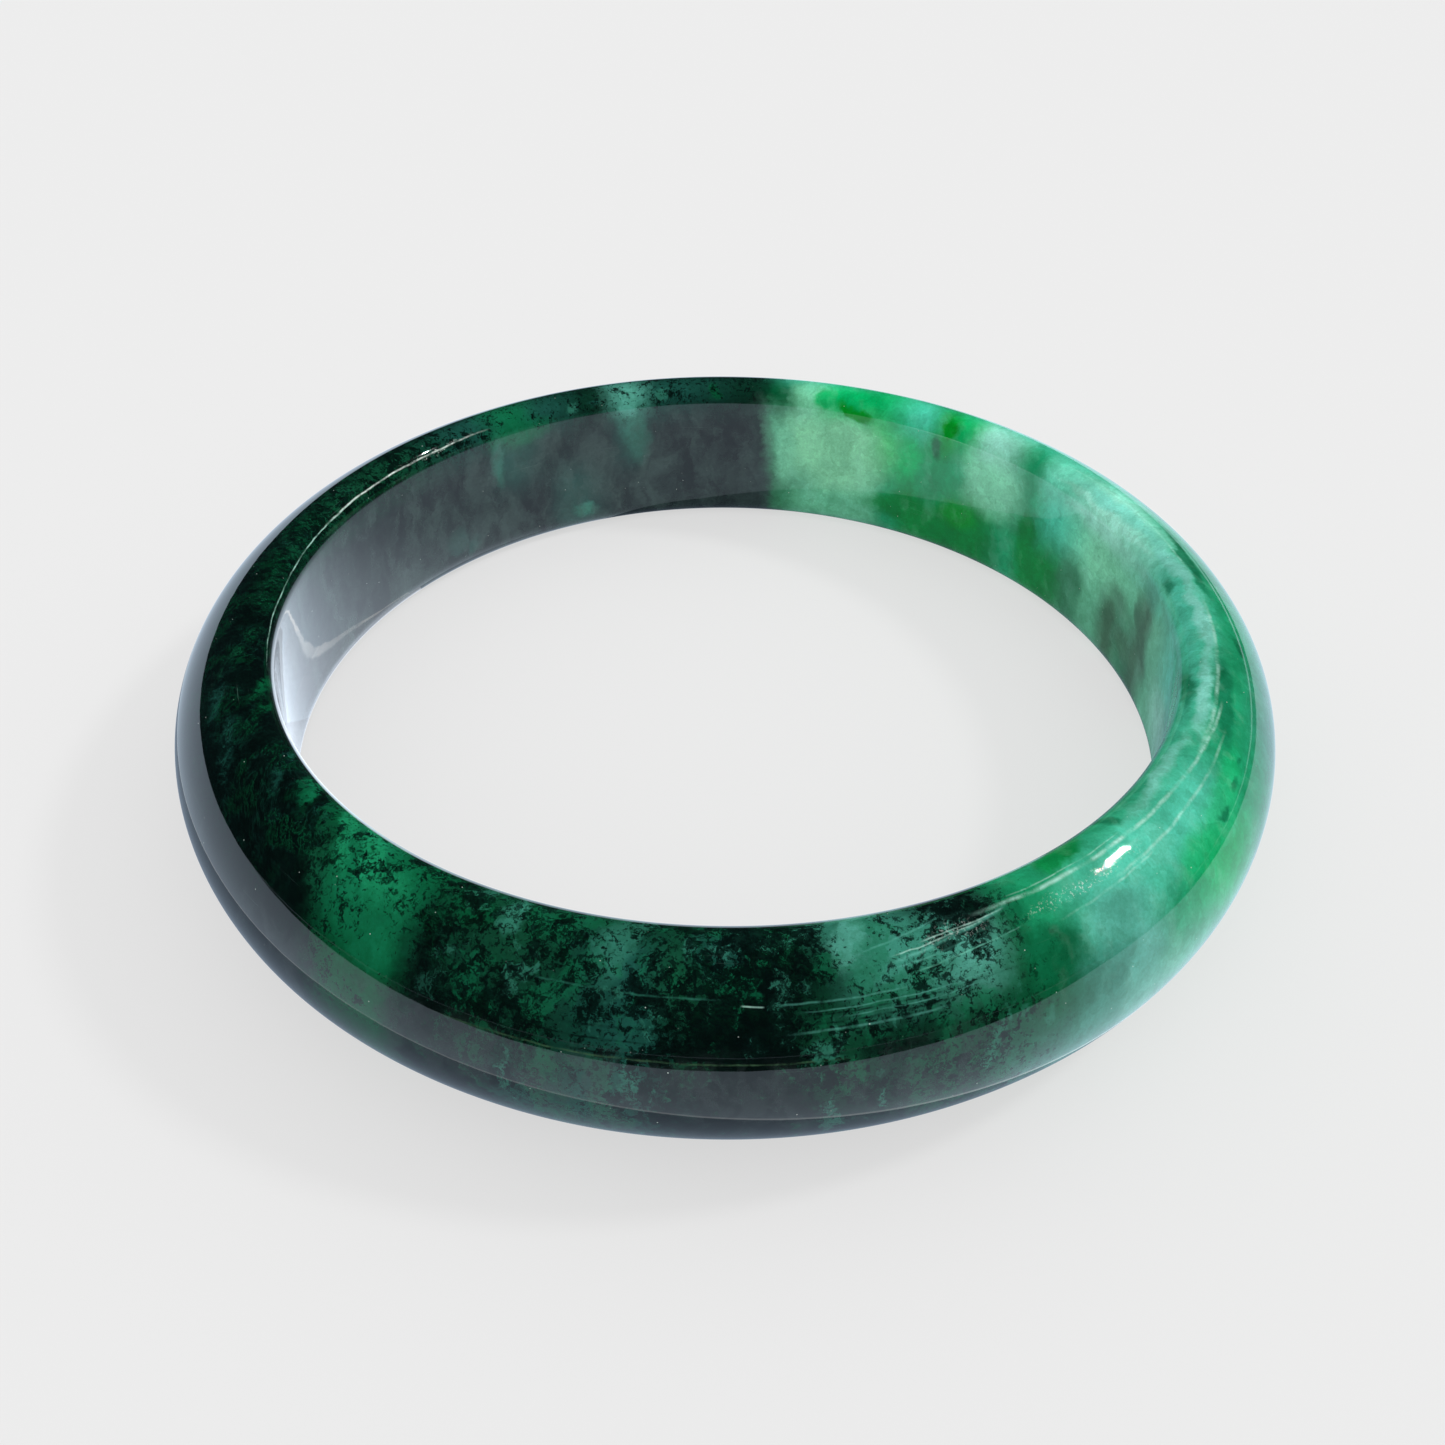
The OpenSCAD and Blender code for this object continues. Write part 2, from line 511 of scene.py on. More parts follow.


# Thin lines along the ring: streaks in the stone, and painted glints where the sun's highlight is drawn out
# along worn ridges of the polish. Each is where it starts and ends, in degrees, the lengths along the
# section there, its half width, in mm, its colour and its strength.
STREAKS_AND_GLINT_LINES = [
    # The milk and white rows are painted highlights: glints of the sun drawn out along the polished ridge.
    (271.8, 273.8, 14.34, 14.38, 0.03, "milk", 0.6),
    (292, 322, 11.95, 11.90, 0.08, "milk", 0.75),
    (316, 338, 11.90, 12.15, 0.08, "milk", 0.60),
    (296, 312, 11.70, 11.60, 0.03, "milk", 0.50),
    (326, 358, 11.95, 11.45, 0.10, "milk", 0.55),
    (0, 34, 11.50, 10.90, 0.07, "milk", 0.50),
    (283, 297, 13.30, 12.00, 0.07, "teal_light", 0.80),
    (282, 292, 13.55, 13.00, 0.04, "teal_light", 0.70),
    (286, 297, 13.75, 13.20, 0.03, "mint_pale", 0.50),
    (284, 294, 12.90, 12.30, 0.03, "milk", 0.50),
    (287, 296, 12.50, 12.15, 0.03, "milk", 0.60),
    (281, 290, 12.60, 11.60, 0.04, "teal_light", 0.60),
    (300, 314, 13.70, 13.25, 0.05, "milk", 0.50),
    (306, 334, 13.25, 12.70, 0.07, "milk", 0.50),
    # These two rows are a painted streak of the sun's highlight along the far rim.
    (131, 168, 9.86, 9.80, 0.05, "white", 1.0),
    (156, 200, 9.80, 9.68, 0.035, "milk", 0.90),
    (254, 271, 14.05, 14.10, 0.04, "teal", 0.45),
    (274, 286, 14.35, 14.30, 0.04, "teal_light", 0.45),
    (276, 294, 14.72, 14.62, 0.03, "teal_light", 0.50),
    (279, 293, 15.05, 14.98, 0.03, "teal_light", 0.45),
    (275, 289, 15.62, 15.52, 0.05, "teal_light", 0.50),
    (274, 292, 15.30, 15.20, 0.05, "ink", 0.80),
    (276, 296, 14.88, 14.80, 0.04, "ink", 0.80),
    (254, 268, 15.75, 15.55, 0.05, "ink", 0.80),
    (252, 272, 16.15, 16.25, 0.04, "ink", 0.80),
    (256, 282, 16.80, 16.75, 0.06, "ink", 0.85),
    (246, 282, 16.92, 17.02, 0.04, "olive", 0.60),
]

# Worn places of the polish at the sun's highlights: their fine marks get relief, and white painted glitter
# stands in for the sun sparkling on them. The rows are like those of CLOUDS.
WORN_GLINT_PLACES = [
    (305.0, 12.50, 4.6, 0.42, -3, "white", 1.0, 0.9),
    (290.5, 12.40, 2.0, 0.50, -8, "white", 0.5, 0.9),
    (142.0, 9.85, 3.4, 0.14, 0, "white", 1.0, 0.8),
]

# How mossy the dark side is, round the rim and lower down: (degrees, part of the stone that is black).
MOSS_ABOVE = [
    (84, 0.40), (104, 0.45), (126, 0.36), (140, 0.52), (150, 0.64), (178, 0.64), (198, 0.64),
    (204, 0.45), (211, 0.65), (220, 0.60), (224, 0.45), (231, 0.52), (236, 0.44), (241, 0.54),
    (248, 0.62), (251, 0.42), (255, 0.64), (260, 0.42), (265, 0.55), (272, 0.70), (278, 0.74),
    (281, 0.16), (286, 0.40), (291, 0.80), (295, 0.50), (300, 0.12), (305, 0.00),
]
MOSS_BELOW = [
    (84, 0.40), (150, 0.60), (180, 0.70), (205, 0.72), (215, 0.72), (224, 0.80), (231, 0.68),
    (235, 0.46), (240, 0.20), (243, 0.22), (245, 0.66), (251, 0.62), (257, 0.48), (262, 0.48),
    (268, 0.78), (274, 0.84), (279, 0.50), (286, 0.46), (292, 0.48), (298, 0.30), (303, 0.08),
    (308, 0.00),
]


def line_mask(net, turn, roll, line):
    """How much of one line there is at a place round the ring and about its section."""
    start, end, s_start, s_end, half_width, _, strength = line
    along = net.node(
        "ShaderNodeMapRange",
        {"Value": turn, "From Min": start / FULL_CIRCLE, "From Max": end / FULL_CIRCLE},
    ).outputs["Result"]
    first, last = section_angle(s_start), section_angle(s_end)
    path = net.math("MULTIPLY_ADD", along, last - first, first)
    away = net.math("ABSOLUTE", net.math("SUBTRACT", roll, path))
    reach = section_angle(s_start + half_width) - section_angle(s_start - half_width)
    across = net.step(away, reach, 0.0, to=(0.0, strength))
    fade = net.math("MULTIPLY", along, net.math("SUBTRACT", 1.0, along))
    fade = net.step(fade, 0.0, 0.16)
    return net.math("MULTIPLY", across, fade)


def surface_frame(degrees, s):
    """The point on the surface at an angle and a length, and the ways round and across the band there."""
    angle = math.radians(degrees)
    (radius, height), way = section_at(s * MM)
    point = Vector((radius * math.cos(angle), radius * math.sin(angle), height))
    around = Vector((-math.sin(angle), math.cos(angle), 0.0))
    along_r, along_z = way[1], -way[0]
    along = Vector((along_r * math.cos(angle), along_r * math.sin(angle), along_z))
    return point, around, along


def cloud_mask(net, place, cloud):
    """How much of one cloud there is at place, from 0 outside it to its strength at its middle."""
    degrees, s, half_round, half_across, turned, _, strength, soft = cloud
    point, around, along = surface_frame(degrees, s)
    turn = math.radians(turned)
    first = around * math.cos(turn) + along * math.sin(turn)
    second = along * math.cos(turn) - around * math.sin(turn)
    axes = Matrix((first, second, first.cross(second))).transposed()
    depth = 1.2 * max(half_round, half_across)
    # The clouds are drawn this much larger than their half sizes, because their edges are soft.
    growth = 1.15
    grown = growth * MM
    local = net.node(
        "ShaderNodeMapping",
        {
            "Vector": place, "Location": point, "Rotation": axes.to_euler(),
            "Scale": (half_round * grown, half_across * grown, depth * grown),
        },
        vector_type="TEXTURE",
    )
    nearness = net.node("ShaderNodeTexGradient", {"Vector": local.outputs[0]}, gradient_type="SPHERICAL")
    return net.step(nearness.outputs["Fac"], 0.0, soft / growth, to=(0.0, strength))


def section_angle(s):
    """The angle about the section's middle at a length along it in mm, as in ring_coordinates."""
    (radius, height), _ = section_at(s * MM)
    return math.atan2(radius - middle_r, height)


def stone_places(net):
    """Where a point of the stone is: in mm, then moved about by noise, in mm and in metres.

    The last place is moved only a little, in mm, for lines that have to stay narrow."""
    where = net.node("ShaderNodeTexCoord").outputs["Object"]
    place = net.vector("MULTIPLY", where, (1 / MM, 1 / MM, 1 / MM))
    moved = place
    nearly = None
    turn, _ = ring_coordinates(net, place)
    # The light side is calm, so the finest movement is weak there.
    lively = net.sector(turn, (78, 86), (306, 292))
    lively = net.math("MULTIPLY_ADD", lively, 0.8, 0.2)
    for scale, amount, fine in ((0.16, 1.4, False), (0.55, 1.2, False), (1.9, 0.9, True)):
        swirl = net.noise(place, scale, detail=4.0, roughness=0.65, output="Color")
        parts = net.node("ShaderNodeSeparateColor", {"Color": swirl}).outputs
        swirl = net.node("ShaderNodeCombineXYZ", {"X": parts[0], "Y": parts[1], "Z": parts[2]}).outputs[0]
        swirl = net.vector("SUBTRACT", swirl, (0.5, 0.5, 0.5))
        swirl = net.vector("MULTIPLY", swirl, (amount, amount, amount))
        if fine:
            share = net.node("ShaderNodeCombineXYZ", {"X": lively, "Y": lively, "Z": lively}).outputs[0]
            swirl = net.vector("MULTIPLY", swirl, share)
        moved = net.vector("ADD", moved, swirl)
        if nearly is None:
            nearly = net.vector("ADD", place, net.vector("MULTIPLY", swirl, (0.3, 0.3, 0.3)))
    moved_point = net.node("ShaderNodeMapping", {"Vector": moved, "Scale": (MM, MM, MM)}).outputs[0]
    return place, moved, moved_point, nearly


def ring_coordinates(net, place):
    """The part of a turn from +X, from 0 to 1, and the angle about the middle of the section."""
    parts = net.node("ShaderNodeSeparateXYZ", {"Vector": place})
    x, y, z = parts.outputs
    turn = net.math("DIVIDE", net.math("ARCTAN2", y, x), TURN)
    turn = net.math("FRACT", net.math("ADD", turn, 1.0))
    flat = net.node("ShaderNodeCombineXYZ", {"X": x, "Y": y})
    radius = net.vector("LENGTH", flat.outputs[0])
    roll = net.math("ARCTAN2", net.math("SUBTRACT", radius, middle_r / MM), z)
    return turn, roll


def zone_colours(net, turn, roll, moved_point):
    """The broad colours: the strips round the ring, with the clouds and spots over them."""
    colour = None
    last = None
    for s, stops in STRIPS:
        here = section_angle(s)
        strip = net.strip(turn, stops)
        if colour is None:
            colour = strip
        else:
            colour = net.mix(net.step(roll, last, here), colour, strip)
        last = here
    # Past the lowest strip, the under side goes back to the first one.
    under = net.step(roll, math.radians(150), math.radians(178))
    colour = net.mix(under, colour, net.strip(turn, STRIPS[0][1]))

    for cloud in CLOUDS:
        colour = net.mix(cloud_mask(net, moved_point, cloud), colour, STONE[cloud[5]])
    return colour


def laid_flat(net, turn, roll):
    """A place on the surface laid flat: round the ring and along the section, in mm."""
    round_mm, across_mm = TURN * 31, 6.4
    return net.node(
        "ShaderNodeCombineXYZ",
        {
            "X": net.math("MULTIPLY", turn, round_mm),
            "Y": net.math("MULTIPLY", roll, across_mm),
        },
    ).outputs[0]


def add_moss(net, colour, turn, true_roll, place, moved, dark, outside):
    """Black growth with crisp, ragged edges, thick in some places and thin in others.

    At the front, green and teal pillars stand behind it."""
    density = net.mix(
        net.step(true_roll, section_angle(12.2), section_angle(14.6)),
        net.levels(turn, MOSS_ABOVE), net.levels(turn, MOSS_BELOW),
    )
    density = net.first_part(density)
    clumps = net.noise(moved, 0.55, detail=3.0, roughness=0.6)
    thick = net.math("MULTIPLY_ADD", density, 0.34, -0.34)
    thick = net.math("ADD", thick, net.math("MULTIPLY", clumps, 0.30))
    dark_moss = net.math("MULTIPLY", dark, outside)
    column = net.noise(net.vector("MULTIPLY", moved, (0.50, 0.50, 0.20)), 1.0, 6.0, 0.60)
    front = net.math("MULTIPLY", net.step(turn, 243 / FULL_CIRCLE, 249 / FULL_CIRCLE), dark_moss)
    pillar = net.math("MULTIPLY", net.step(column, 0.52, 0.60), front)
    colour = net.mix(net.math("MULTIPLY", pillar, 0.40), colour, STONE["emerald"])
    pillar = net.math("MULTIPLY", net.step(column, 0.44, 0.38), front)
    colour = net.mix(net.math("MULTIPLY", pillar, 0.45), colour, STONE["teal"])
    moss = net.noise(net.vector("MULTIPLY", moved, (1.0, 1.0, 0.62)), 1.5, 8.0, 0.72, 0.25)
    black = net.step(net.math("ADD", moss, thick), 0.50, 0.55)
    black = net.math("MULTIPLY", black, dark_moss)
    colour = net.mix(net.math("MULTIPLY", black, 0.90), colour, STONE["ink"])
    fine = net.noise(place, 3.6, detail=6.0, roughness=0.68, distortion=0.6)
    black = net.step(net.math("ADD", fine, net.math("MULTIPLY", thick, 0.8)), 0.515, 0.56)
    black = net.math("MULTIPLY", black, dark_moss)
    colour = net.mix(net.math("MULTIPLY", black, 0.80), colour, STONE["ink"])
    return colour


def add_wisps(net, colour, flat, turn, true_roll, place, moved, outside):
    """Thin wisps, green and grey green, that curl through the black of the left."""
    curl = net.noise(net.stretched(flat, (1.1, 0.50, 1.0), math.radians(40)), 1.0, 7.0, 0.66, 1.2)
    curl = net.step(net.math("ABSOLUTE", net.math("SUBTRACT", curl, 0.5)), 0.040, 0.002)
    swarm = net.step(net.noise(moved, 0.50, detail=4.0), 0.40, 0.56)
    zone = net.sector(turn, (140, 175), (300, 225))
    upper = net.step(true_roll, section_angle(17.0), section_angle(11.5), to=(0.15, 1.0))
    zone = net.math("MULTIPLY", zone, upper)
    curl = net.math("MULTIPLY", net.math("MULTIPLY", curl, swarm), net.math("MULTIPLY", zone, outside))
    green = net.mix(net.step(net.noise(place, 0.5), 0.42, 0.58), STONE["teal_dark"], STONE["bottle"])
    colour = net.mix(net.math("MULTIPLY", curl, 0.42), colour, green)
    return colour


def add_smoke(net, colour, true_roll, moved, dark, wall):
    """Grey veins that run up and down the dark inner wall, and slate ones low down outside."""
    vein = net.noise(net.vector("MULTIPLY", moved, (0.50, 0.50, 0.26)), 1.0, 7.0, 0.60, 0.6)
    smoke = net.math("MULTIPLY", net.step(vein, 0.36, 0.70), net.math("MULTIPLY", wall, dark))
    colour = net.mix(net.math("MULTIPLY", smoke, 0.50), colour, STONE["smoke"])
    low = net.math("MULTIPLY", net.step(true_roll, section_angle(16.0), section_angle(17.5)), dark)
    smoke = net.math("MULTIPLY", net.step(vein, 0.46, 0.60), low)
    colour = net.mix(net.math("MULTIPLY", smoke, 0.40), colour, STONE["slate"])
    return colour


def add_fibres(net, colour, moved, light):
    """Soft fibres in the light stone."""
    fibre = net.noise(net.vector("MULTIPLY", moved, (0.8, 0.8, 0.34)), 1.0, 4.0, 0.5)
    deep = net.math("MULTIPLY", net.step(fibre, 0.46, 0.70), light)
    colour = net.mix(net.math("MULTIPLY", deep, 0.15), colour, STONE["bottle"])
    pale = net.math("MULTIPLY", net.step(fibre, 0.50, 0.28), light)
    colour = net.mix(net.math("MULTIPLY", pale, 0.08), colour, STONE["milk"])
    return colour


def add_streaks_and_glints(net, colour, place, nearly):
    """Streaks in the stone and painted glints along the ring, uneven like natural ones."""
    near_turn, near_roll = ring_coordinates(net, nearly)
    gaps = net.step(net.noise(place, 0.8, detail=6.0, roughness=0.7), 0.38, 0.62, to=(0.15, 1.0))
    for line in STREAKS_AND_GLINT_LINES:
        mask = net.math("MULTIPLY", line_mask(net, near_turn, near_roll, line), gaps)
        colour = net.mix(mask, colour, STONE[line[5]])
    return colour


def let_light_through(net, colour, turn, wall, light):
    """Light comes through the light side's thin stone, so its inner wall and far rim look brighter."""
    far_side = net.sector(turn, (0, 16), (100, 88))
    lit = net.math("MAXIMUM", far_side, wall)
    lit = net.math("MULTIPLY", lit, light)
    return net.mix(lit, colour, net.mix(1.0, colour, (0.90, 1.20, 1.14, 1), blend="MULTIPLY"))


def add_grain(net, colour, place, moved):
    """A soft unevenness everywhere, and a fine grain of crystals."""
    patch = net.noise(moved, 0.32, detail=4.0, roughness=0.55)
    shade = net.mix(net.step(patch, 0.3, 0.7), (0.80, 0.84, 0.82, 1), (1.16, 1.12, 1.14, 1))
    colour = net.mix(1.0, colour, shade, blend="MULTIPLY")
    crystals = net.node("ShaderNodeTexVoronoi", {"Vector": moved, "Scale": 2.2}, feature="F1")
    tint = net.first_part(crystals.outputs["Color"])
    shade = net.mix(tint, (0.90, 0.92, 0.90, 1), (1.12, 1.09, 1.12, 1))
    colour = net.mix(1.0, colour, shade, blend="MULTIPLY")
    grain = net.noise(place, 6.0, detail=3.0, roughness=0.7)
    shade = net.mix(net.step(grain, 0.3, 0.7), (0.90, 0.92, 0.90, 1), (1.08, 1.08, 1.10, 1))
    colour = net.mix(1.0, colour, shade, blend="MULTIPLY")
    return colour


def stone_colour(net, place, moved, moved_point, nearly):
    """The colour of the stone, and its places laid flat."""
    turn, roll = ring_coordinates(net, moved)
    true_turn, true_roll = ring_coordinates(net, place)
    colour = zone_colours(net, turn, roll, moved_point)
    # dark, outside, light and wall are each 1 in their zone and 0 outside it.
    dark = net.sector(turn, (82, 88), (304, 292))
    flat = laid_flat(net, true_turn, true_roll)
    outside = net.step(true_roll, math.radians(-50), math.radians(-30))
    colour = add_moss(net, colour, turn, true_roll, place, moved, dark, outside)
    colour = add_wisps(net, colour, flat, turn, true_roll, place, moved, outside)
    light = net.math("SUBTRACT", 1.0, dark)
    wall = net.step(true_roll, math.radians(-30), math.radians(-44))
    colour = add_smoke(net, colour, true_roll, moved, dark, wall)
    colour = add_fibres(net, colour, moved, light)
    colour = add_streaks_and_glints(net, colour, place, nearly)
    colour = let_light_through(net, colour, turn, wall, light)
    return add_grain(net, colour, place, moved), flat


def stone_flecks_and_glints(net, place):
    """Tiny crystals whose white is a painted glint: 1 on a fleck and 0 between them."""
    cells = net.node(
        "ShaderNodeTexVoronoi", {"Vector": place, "Scale": 1.9, "Randomness": 1.0},
        feature="F1",
    )
    small = net.step(cells.outputs["Distance"], 0.075, 0.03)
    rare = net.step(net.first_part(cells.outputs["Color"]), 0.74, 0.98)
    return net.math("MULTIPLY", small, rare)


def worn_and_glint_places(net, moved_point):
    """How worn the polish is, where white glitter is painted as glints: 1 in the middle of a worn place."""
    worn = 0.0
    for place in WORN_GLINT_PLACES:
        worn = net.math("MAXIMUM", cloud_mask(net, moved_point, place), worn)
    return worn


def stone_scratches(net, flat, place):
    """Faint lines left by wear, running round the ring in a few places."""
    lines = net.noise(net.stretched(flat, (9.0, 0.10, 1.0), math.radians(2)), 1.0, 3.0, 0.5, 0.3)
    lines = net.step(lines, 0.66, 0.76)
    worn = net.step(net.noise(place, 0.22, detail=1.0), 0.50, 0.62)
    return net.math("MULTIPLY", lines, worn)


def jade_material():
    """Polished jade, mottled from black-green to light green."""
    material, net = blank_material("jade")

    place, moved, moved_point, nearly = stone_places(net)
    colour, flat = stone_colour(net, place, moved, moved_point, nearly)
    flecks_and_glints = stone_flecks_and_glints(net, place)
    scratches = stone_scratches(net, flat, place)
    # Painted highlight: the flecks are painted white, as tiny glints.
    colour = net.mix(net.math("MULTIPLY", flecks_and_glints, 0.8), colour, STONE["white"])
    colour = net.mix(net.math("MULTIPLY", scratches, 0.10), colour, STONE["milk"])
    worn = worn_and_glint_places(net, moved_point)
    # Painted highlight: white glitter in the worn places, standing in for the sun's sparkle.
    sparks = net.noise(place, 7.5, detail=3.0, roughness=0.6)
    painted_glitter = net.math("MULTIPLY", net.step(sparks, 0.54, 0.66), worn)
    colour = net.mix(net.math("MULTIPLY", painted_glitter, 0.60), colour, STONE["white"])

    # The polish is mirror-like, and a little duller where it is worn.
    haze = net.noise(place, 0.4, detail=4.0, roughness=0.6)
    rough = net.step(haze, 0.35, 0.75, to=(0.025, 0.05))
    rough = net.math("ADD", rough, net.math("MULTIPLY", scratches, 0.10))

    # Relief: a slow unevenness from the polishing wheel, pits, crystals and scratches
    slow = net.noise(place, 0.55, detail=2.0, roughness=0.5)
    pits = net.noise(place, 4.5, detail=3.0, roughness=0.6)
    height = net.math("ADD", slow, net.math("MULTIPLY", pits, 0.035))
    height = net.math("ADD", height, net.math("MULTIPLY", flecks_and_glints, 0.10))
    height = net.math("SUBTRACT", height, net.math("MULTIPLY", scratches, 0.06))
    height = net.math("ADD", height, net.math("MULTIPLY", net.math("MULTIPLY", sparks, worn), 1.6))
    relief = 0.005 * MM
    bump = net.node("ShaderNodeBump", {"Height": height, "Strength": 1.0, "Distance": relief})

    shader = net.node(
        "ShaderNodeBsdfPrincipled",
        {
            "Base Color": colour,
            "Roughness": rough,
            "Normal": bump.outputs[0],
            "IOR": 1.54,
            "Subsurface Weight": 0.15,
            "Subsurface Radius": (0.6, 1.0, 0.8),
            "Subsurface Scale": 1.2 * MM,
        },
    )
    net.finish(shader)
    return material


# ---------------------------------------------------------------- the studio

def make_sheet(name, corners, material):
    """A flat sheet between the given corners, which belongs to the studio and not to the object."""
    mesh = bpy.data.meshes.new(name)
    mesh.from_pydata(corners, [], [tuple(range(len(corners)))])
    sheet = add_object(name, mesh)
    sheet.data.materials.append(material)
    return sheet


def only_in_reflections(obj):
    """Hides a studio piece or a lamp from everything but reflections."""
    obj.visible_camera = False
    obj.visible_diffuse = False
    obj.visible_transmission = False
    obj.visible_volume_scatter = False
    obj.visible_shadow = False


def floor_material():
    """Pale paper on a light table, so that shadows on it stay faint. Reflected, it is a shade bluer."""
    material, net = blank_material("pale_paper")
    rays = net.node("ShaderNodeLightPath")
    white, bluish = (1.0, 1.0, 1.0, 1), (0.82, 1.0, 1.20, 1)
    paper_grey, table_glow = (0.20, 0.20, 0.20, 1), 0.61
    tint = net.mix(rays.outputs["Is Glossy Ray"], white, bluish)
    paper = net.mix(1.0, tint, paper_grey, blend="MULTIPLY")
    paper = net.node("ShaderNodeBsdfDiffuse", {"Color": paper})
    glow = net.node("ShaderNodeEmission", {"Color": tint, "Strength": table_glow})
    net.finish(net.join("ShaderNodeAddShader", paper, glow))
    return material


def make_floor():
    """A pale floor, wide enough for a view from any side."""
    reach = 40.0
    corners = [(x * reach, y * reach, floor_z) for x, y in ((-1, -1), (1, -1), (1, 1), (-1, 1))]
    make_sheet("floor", corners, floor_material())


def plain_emission(name, colour, strength):
    """A material that glows evenly."""
    material, net = blank_material(name)
    shader = net.node("ShaderNodeEmission", {"Color": colour, "Strength": strength})
    net.finish(shader)
    return material


def grey_filter(name, colour):
    """A see-through sheet that dims what is behind it."""
    material, net = blank_material(name)
    shader = net.node("ShaderNodeBsdfTransparent", {"Color": colour})
    net.finish(shader)
    return material


def make_flags():
    """Dark cards beyond the paper's front and right edges, which only reflections see."""
    black = plain_emission("flag_black", (0.02, 0.03, 0.035, 1), 1.0)
    front, right, far, lift = -2.1 * outer_r, 3.4 * outer_r, 60 * outer_r, floor_z + 0.5 * MM
    cards = {
        "front_flag": (-far, far, -far, front),
        "right_flag": (right, far, front, 2 * right),
    }
    for name, (left_x, right_x, near_y, far_y) in cards.items():
        corners = [
            (left_x, near_y, lift), (right_x, near_y, lift), (right_x, far_y, lift), (left_x, far_y, lift),
        ]
        only_in_reflections(make_sheet(name, corners, black))


def make_ring_strip(name, inner, outer, start, end, material):
    """A flat strip on the floor round the ring's axis, seen only in reflections.

    inner and outer give how far its edges are from the axis, going one way; start and end are degrees."""
    steps = max(8, int(end - start) // 2)
    lift = 0.05 * MM
    height = floor_z + lift
    points, faces = [], []
    for i in range(steps + 1):
        angle = math.radians(start + (end - start) * i / steps)
        way = Vector((math.cos(angle), math.sin(angle)))
        for reach in (inner(way), outer(way)):
            points.append((reach * way.x, reach * way.y, height))
    for i in range(steps):
        faces.append((2 * i, 2 * i + 1, 2 * i + 3, 2 * i + 2))
    mesh = bpy.data.meshes.new(name)
    mesh.from_pydata(points, [], faces)
    strip = add_object(name, mesh)
    mesh.materials.append(material)
    only_in_reflections(strip)


def to_circle(way, centre, reach):
    """How far it is from the ring's axis to a circle, going one way."""
    along = way.dot(centre)
    return along + math.sqrt(along ** 2 + reach ** 2 - centre.length_squared)


def make_shade():
    """The sun's shadow of the ring, as only reflections see it, with a bright line round its outer edge.

    Its outer edge is the ring's outline moved away from the sun. Its part inside the ring is darker."""
    away = Vector((-math.cos(SUN_AZIMUTH), -math.sin(SUN_AZIMUTH)))
    outer_centre, outer_reach = away * 0.18 * outer_r, 1.05 * outer_r
    inner_centre, inner_reach = away * 0.42 * inner_r, 1.06 * inner_r
    line_width = 0.010 * outer_r

    def outline(way):
        return to_circle(way, outer_centre, outer_reach)

    def inside(way):
        return min(middle_r, to_circle(way, inner_centre, inner_reach))

    make_ring_strip(
        "shade", lambda way: middle_r, outline, 0, FULL_CIRCLE,
        grey_filter("shade_grey", (0.45, 0.47, 0.50, 1)),
    )
    make_ring_strip(
        "shade_inside", inside, lambda way: middle_r, 0, FULL_CIRCLE,
        grey_filter("shade_inside_grey", (0.28, 0.30, 0.33, 1)),
    )
    make_ring_strip(
        "shade_edge", outline, lambda way: outline(way) + line_width, 150, 330,
        plain_emission("shade_edge_light", (0.9, 1.0, 1.1, 1), 1.25),
    )


def make_wall_glow():
    """Sunlight that the inner wall throws down on the paper at its foot, as only reflections see it."""
    start, end = 147, 215

    def edge(way):
        # Its edge comes away from the wall's foot going round from the far side.
        turn = math.degrees(math.atan2(way.y, way.x)) % FULL_CIRCLE
        grown = min(1.0, max(0.0, (turn - start) / 15))
        return inner_r - 0.065 * inner_r * math.sin(grown * math.pi / 2)

    line_width = 0.010 * inner_r
    make_ring_strip(
        "wall_glow", edge, lambda way: inner_r + rim_r, start, end,
        plain_emission("wall_glow_light", (0.88, 0.97, 1.10, 1), 1.4),
    )
    make_ring_strip(
        "wall_glow_edge", lambda way: edge(way) - line_width, edge, start + 2, end,
        plain_emission("wall_glow_edge_light", (0.95, 1.0, 1.05, 1), 2.6),
    )


def make_wall_light():
    """Sunlight that the left inner wall spreads over the paper inside it, as only reflections see it."""
    material, net = blank_material("wall_light")
    where = net.node("ShaderNodeTexCoord").outputs["Object"]
    across = net.node("ShaderNodeSeparateXYZ", {"Vector": where}).outputs[0]
    strength = net.step(across, -0.35 * inner_r, -1.0 * inner_r, to=(0.0, 1.3))
    glow = net.node("ShaderNodeEmission", {"Color": (0.86, 0.98, 1.12, 1), "Strength": strength})
    clear = net.node("ShaderNodeBsdfTransparent")
    net.finish(net.join("ShaderNodeAddShader", glow, clear))
    make_ring_strip("wall_light", lambda way: 0.2 * inner_r, lambda way: inner_r, 100, 196, material)


def make_world():
    """Even pale light for the floor and the stone, with a dark room behind it in reflections."""
    world = bpy.data.worlds.new("studio")
    bpy.context.scene.world = world
    world.use_nodes = True
    world.node_tree.nodes.clear()
    net = Net(world.node_tree)
    rays = net.node("ShaderNodeLightPath")
    open_light = net.node("ShaderNodeBackground", {"Color": (1.0, 1.0, 1.0, 1), "Strength": 0.95})
    dark_room = net.node("ShaderNodeBackground", {"Color": (0.012, 0.022, 0.026, 1), "Strength": 1.0})
    both = net.join("ShaderNodeMixShader", open_light, dark_room, {"Fac": rays.outputs["Is Glossy Ray"]})
    # The backdrop is as pale as the floor, so that no horizon shows from a low angle.
    backdrop = net.node("ShaderNodeBackground", {"Color": (0.84, 0.84, 0.84, 1), "Strength": 1.0})
    seen = net.join("ShaderNodeMixShader", both, backdrop, {"Fac": rays.outputs["Is Camera Ray"]})
    net.finish(seen, "ShaderNodeOutputWorld")


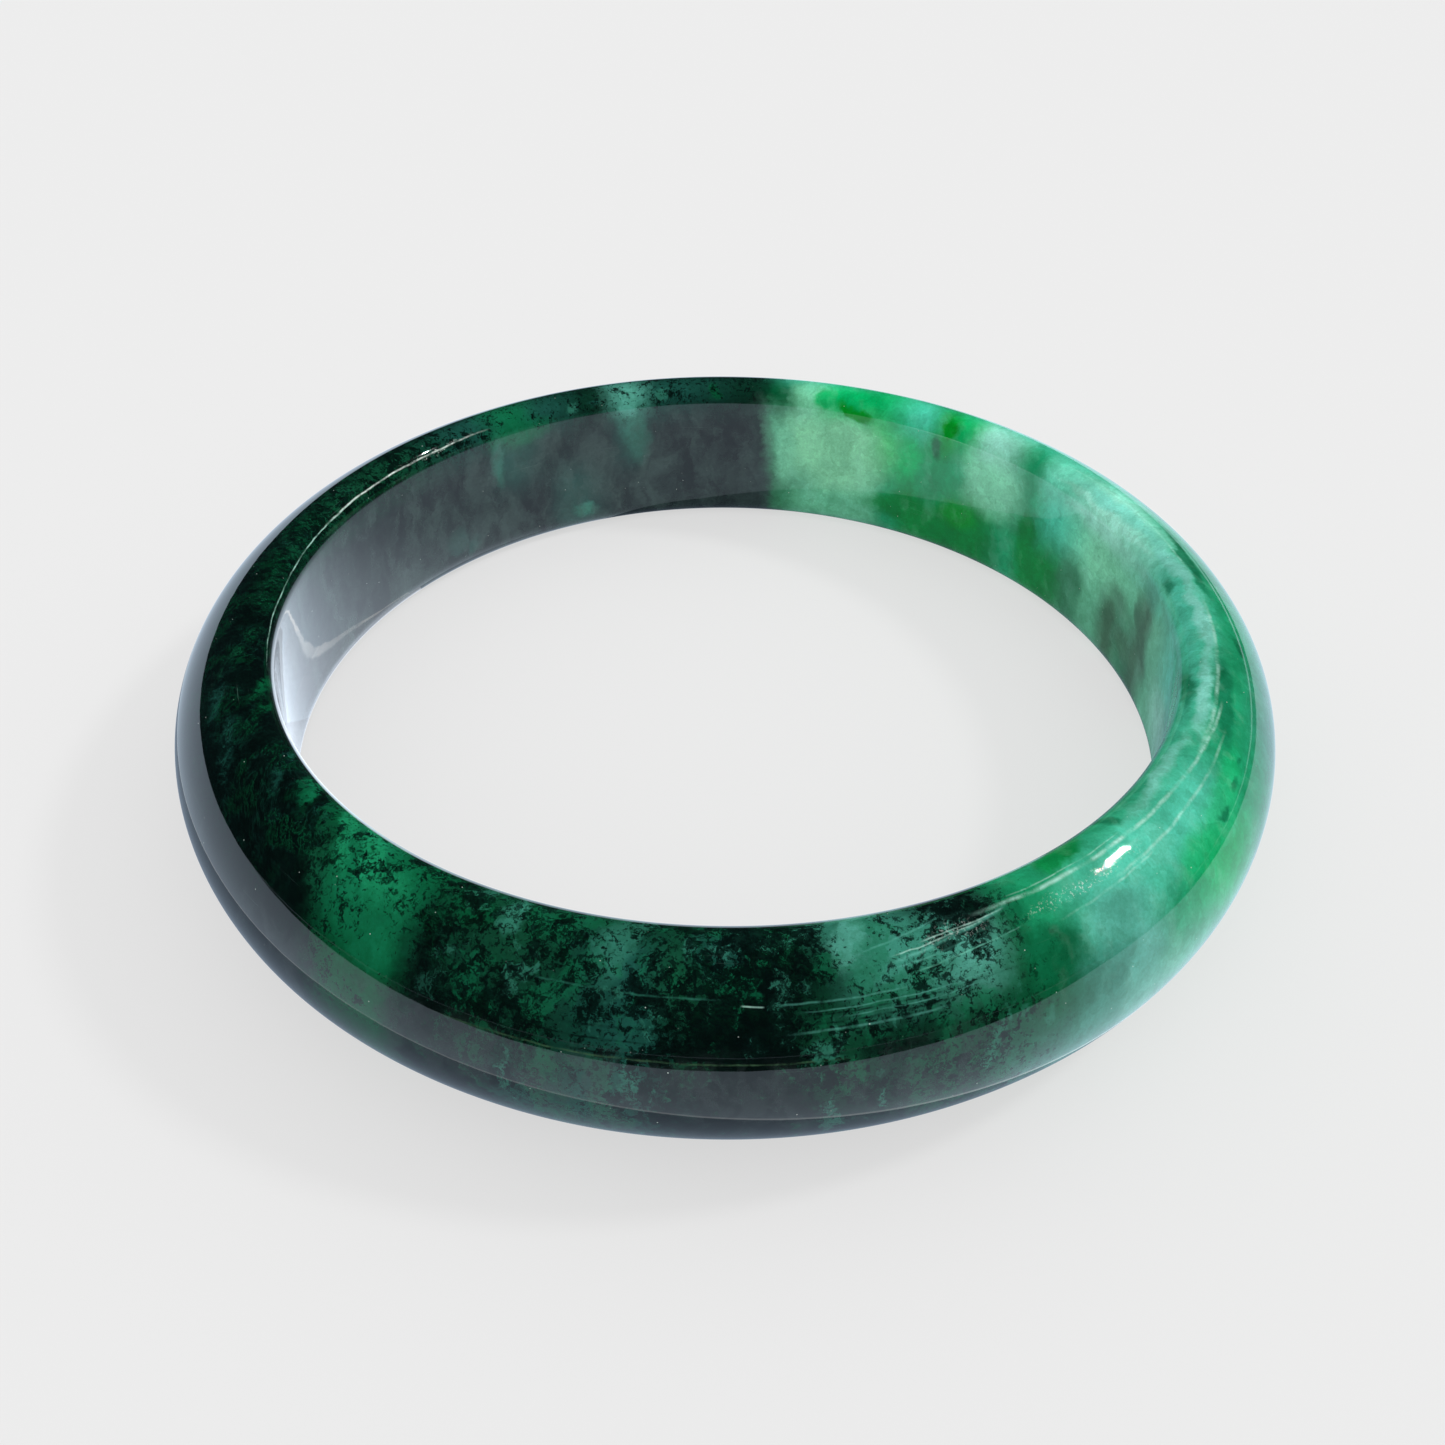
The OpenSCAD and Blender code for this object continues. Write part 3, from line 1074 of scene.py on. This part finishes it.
def aim(obj, target):
    """Turns a lamp so that it shines at a point."""
    way = Vector(target) - obj.location
    obj.rotation_euler = way.to_track_quat("-Z", "Y").to_euler()


def sun_place():
    """A point towards the sun, a metre from the ring's centre."""
    level = math.cos(SUN_HEIGHT)
    return Vector((math.cos(SUN_AZIMUTH) * level, math.sin(SUN_AZIMUTH) * level, math.sin(SUN_HEIGHT)))


def make_sun():
    """A weak, wide sun from the right, for the gentle shading and shadow."""
    data = bpy.data.lights.new("sun", "SUN")
    data.energy = 1.1
    data.angle = math.radians(8)
    sun = add_object("sun", data)
    sun.location = sun_place()
    aim(sun, (0, 0, 0))
    sun.visible_glossy = False


def make_sun_glint():
    """The sun's disc as only reflections see it: it makes the small white sparks on the polish."""
    data = bpy.data.lights.new("sun_glint", "SUN")
    data.energy = 1.8
    data.angle = math.radians(0.7)
    lamp = add_object("sun_glint", data)
    lamp.location = sun_place()
    aim(lamp, (0, 0, 0))
    only_in_reflections(lamp)


def make_lights():
    """The sky's light, the soft sun and its glint."""
    make_world()
    make_sun()
    make_sun_glint()


def make_camera():
    """The photograph's view: from the front and above, close to the ring."""
    data = bpy.data.cameras.new("camera")
    data.sensor_width = 36.0
    data.lens = 33.92
    data.shift_x = -0.0131
    data.shift_y = -0.1263
    data.clip_start = 1 * MM
    data.clip_end = 100.0
    camera = add_object("camera", data)
    centre = (cad_low + cad_high) / 2
    distance = 2.634 * outer_r
    azimuth, height = math.radians(0.62), math.radians(36.61)
    place = centre + distance * Vector((
        math.sin(azimuth) * math.cos(height), -math.cos(azimuth) * math.cos(height), math.sin(height),
    ))
    pitch, roll = math.radians(31.84), math.radians(0.827)
    camera.matrix_world = (
        Matrix.Translation(place)
        @ Matrix.Rotation(math.pi / 2 - pitch, 4, "X")
        @ Matrix.Rotation(roll, 4, "Z")
    )
    bpy.context.scene.camera = camera


# ---------------------------------------------------------------- everything together

band = make_band()
band.data.materials.append(jade_material())
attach(band, "root")
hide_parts("bangle")

make_floor()
make_flags()
make_shade()
make_wall_glow()
make_wall_light()
make_lights()
make_camera()
bpy.context.scene.view_settings.view_transform = "Standard"
